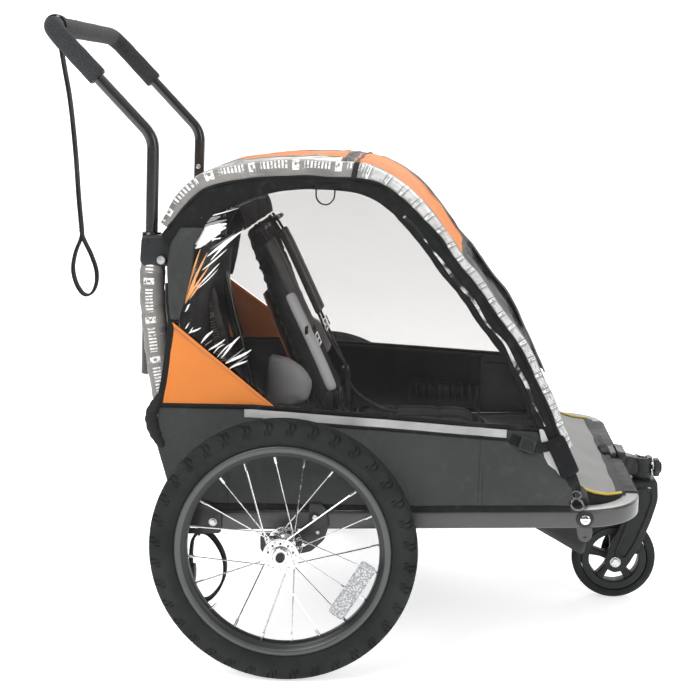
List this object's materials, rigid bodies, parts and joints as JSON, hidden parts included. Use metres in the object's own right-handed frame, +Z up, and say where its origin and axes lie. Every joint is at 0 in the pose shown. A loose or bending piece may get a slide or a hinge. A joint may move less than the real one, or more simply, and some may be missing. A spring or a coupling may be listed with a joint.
{
  "type": "child bicycle trailer",
  "caption": "Enclosed folding child trailer on two spoked wheels with a swivel front caster, canopy, side windows and a push handle.",
  "frame": {"origin": "on the ground, under the middle of the footprint's bounding box", "axes": "+X forward towards the caster, +Y to the trailer's left, +Z up"},
  "size_m": [0.9976, 0.854, 0.9864],
  "materials": {
    "frame_grey": "satin grey powder coat",
    "black_metal": "gloss black paint",
    "bright_steel": "zinc plated",
    "rim_grey": "satin anodised grey",
    "tyre_rubber": "matt moulded rubber",
    "black_plastic": "fine moulded texture",
    "foam": "closed-cell foam",
    "webbing": "woven webbing",
    "grey_fabric": "coated polyester",
    "dark_fabric": "coated polyester",
    "black_fabric": "woven polyester",
    "orange_fabric": "coated polyester",
    "clear_vinyl": "soft clear vinyl",
    "reflector_lens": "prismatic clear plastic"
  },
  "bodies": {
    "base": {"base_frame": "frame_grey", "axle_beam": "black_metal", "axle_bracket_right": "black_metal", "axle_right": "bright_steel", "front_pivot_bolt_right": "bright_steel", "rear_pivot_bolt_right": "bright_steel", "rear_bracket_right": "black_metal", "side_panel_right": "dark_fabric", "side_window_right": "clear_vinyl", "quarter_panel_right": "orange_fabric", "harness_right": "grey_fabric", "axle_bracket_left": "black_metal", "axle_left": "bright_steel", "front_pivot_bolt_left": "bright_steel", "rear_pivot_bolt_left": "bright_steel", "rear_bracket_left": "black_metal", "side_panel_left": "dark_fabric", "side_window_left": "clear_vinyl", "quarter_panel_left": "orange_fabric", "harness_left": "grey_fabric", "front_cover": "grey_fabric", "rear_cover": "black_fabric", "floor_panel": "black_fabric", "seat_back": "black_fabric", "seat_cushion": "black_fabric", "wheel_lock_strap": "webbing", "caster_arm": "black_plastic"},
    "roll_cage": {"side_hoop_right": "black_metal", "front_hinge_plate_right": "frame_grey", "handle_clamp_right": "black_plastic", "handle_receiver_right": "black_metal", "side_hoop_left": "black_metal", "front_hinge_plate_left": "frame_grey", "handle_clamp_left": "black_plastic", "handle_receiver_left": "black_metal", "spreader_bar_front": "black_metal", "spreader_bar_rear": "black_metal", "canopy": "grey_fabric"},
    "rear_uprights": {"rear_upright_right": "black_metal", "rear_upright_left": "black_metal"},
    "lock_pin_right": {"frame_lock_pin_right": "bright_steel"},
    "lock_pin_left": {"frame_lock_pin_left": "bright_steel"},
    "push_handle": {"handle_bar": "black_metal", "foam_grip": "foam"},
    "wrist_strap": {"wrist_strap": "webbing"},
    "wheel_right": {"tyre_right": "tyre_rubber", "rim_right": "rim_grey", "spoked_hub_right": "bright_steel", "spoke_reflector_right": "reflector_lens"},
    "wheel_left": {"tyre_left": "tyre_rubber", "rim_left": "rim_grey", "spoked_hub_left": "bright_steel", "spoke_reflector_left": "reflector_lens"},
    "button_right": {"axle_button_right": "black_plastic"},
    "button_left": {"axle_button_left": "black_plastic"},
    "caster_fork": {"caster_fork": "black_plastic", "caster_axle": "bright_steel"},
    "caster_wheel": {"caster_wheel": "black_plastic", "caster_tyre": "tyre_rubber"},
    "swivel_knob": {"swivel_lock_knob": "black_plastic"}
  },
  "joints": [
    {"name": "cage_fold", "type": "hinge", "parent": "base", "child": "roll_cage", "pos_m": [0.3373, 0, 0.24], "axis": [0, -1, 0], "range_deg": [0, 26], "stiffness_Nm_per_rad": 900, "deforming": ["side_window_right", "quarter_panel_right", "harness_right", "side_window_left", "quarter_panel_left", "harness_left", "seat_back", "rear_cover", "front_cover"]},
    {"name": "rear_upright_fold", "type": "hinge", "parent": "base", "child": "rear_uprights", "pos_m": [-0.2227, 0, 0.226], "axis": [0, 1, 0], "range_deg": [0, 85.02]},
    {"name": "lock_pin_right_pull", "type": "slide", "parent": "roll_cage", "child": "lock_pin_right", "axis": [0, -1, 0], "range_m": [0, 0.01], "stiffness_N_per_m": 60},
    {"name": "lock_pin_left_pull", "type": "slide", "parent": "roll_cage", "child": "lock_pin_left", "axis": [0, 1, 0], "range_m": [0, 0.01], "stiffness_N_per_m": 60},
    {"name": "handle_height", "type": "slide", "parent": "roll_cage", "child": "push_handle", "axis": [0.0445, 0, 0.999], "range_m": [0, 0.1]},
    {"name": "wrist_strap_swing", "type": "hinge", "parent": "push_handle", "child": "wrist_strap", "pos_m": [-0.4812, 0, 0.9688], "axis": [0, 1, 0], "range_deg": [-15, 40]},
    {"name": "wheel_right_spin", "type": "hinge", "parent": "base", "child": "wheel_right", "pos_m": [-0.1107, -0.385, 0.2], "axis": [0, 1, 0], "continuous": true},
    {"name": "wheel_left_spin", "type": "hinge", "parent": "base", "child": "wheel_left", "pos_m": [-0.1107, 0.385, 0.2], "axis": [0, 1, 0], "continuous": true},
    {"name": "axle_button_right_press", "type": "slide", "parent": "base", "child": "button_right", "axis": [0, 1, 0], "range_m": [0, 0.003], "stiffness_N_per_m": 150},
    {"name": "axle_button_left_press", "type": "slide", "parent": "base", "child": "button_left", "axis": [0, -1, 0], "range_m": [0, 0.003], "stiffness_N_per_m": 150},
    {"name": "caster_swivel", "type": "hinge", "parent": "base", "child": "caster_fork", "pos_m": [0.4683, 0, 0.2], "axis": [0, 0, 1], "continuous": true},
    {"name": "caster_spin", "type": "hinge", "parent": "caster_fork", "child": "caster_wheel", "pos_m": [0.4246, 0, 0.0718], "axis": [0, 1, 0], "continuous": true},
    {"name": "swivel_knob_pull", "type": "slide", "parent": "base", "child": "swivel_knob", "axis": [1, 0, 0], "range_m": [0, 0.008], "stiffness_N_per_m": 80}
  ],
  "couplings": [
    {"joint": "rear_upright_fold", "follows": "cage_fold", "ratio": 3.27}
  ]
}
